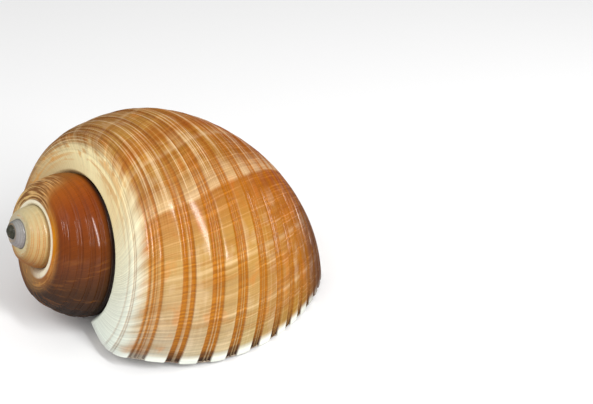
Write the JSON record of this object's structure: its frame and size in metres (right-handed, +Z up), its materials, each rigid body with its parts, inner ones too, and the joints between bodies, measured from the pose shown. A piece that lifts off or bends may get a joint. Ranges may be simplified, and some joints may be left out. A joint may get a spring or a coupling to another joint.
{
  "type": "tun shell",
  "caption": "Thin-walled globose sea-snail shell with a low stepped spire, flat spiral ribs and a wide open mouth, lying mouth down.",
  "frame": {"origin": "under the middle of the shell's box, on the surface that it lies on", "axes": "+Z up from the surface it rests on; +X along the fall of the shell's own axis, from the tip of the spire to the front end; the outer lip is on the -Y side"},
  "size_m": [0.1062, 0.0918, 0.0672],
  "materials": {
    "shell": "glossy shell, cream to tan ribs with orange-brown bands between them, chestnut early whorls"
  },
  "bodies": {
    "root": {"shell": "shell"}
  },
  "joints": []
}
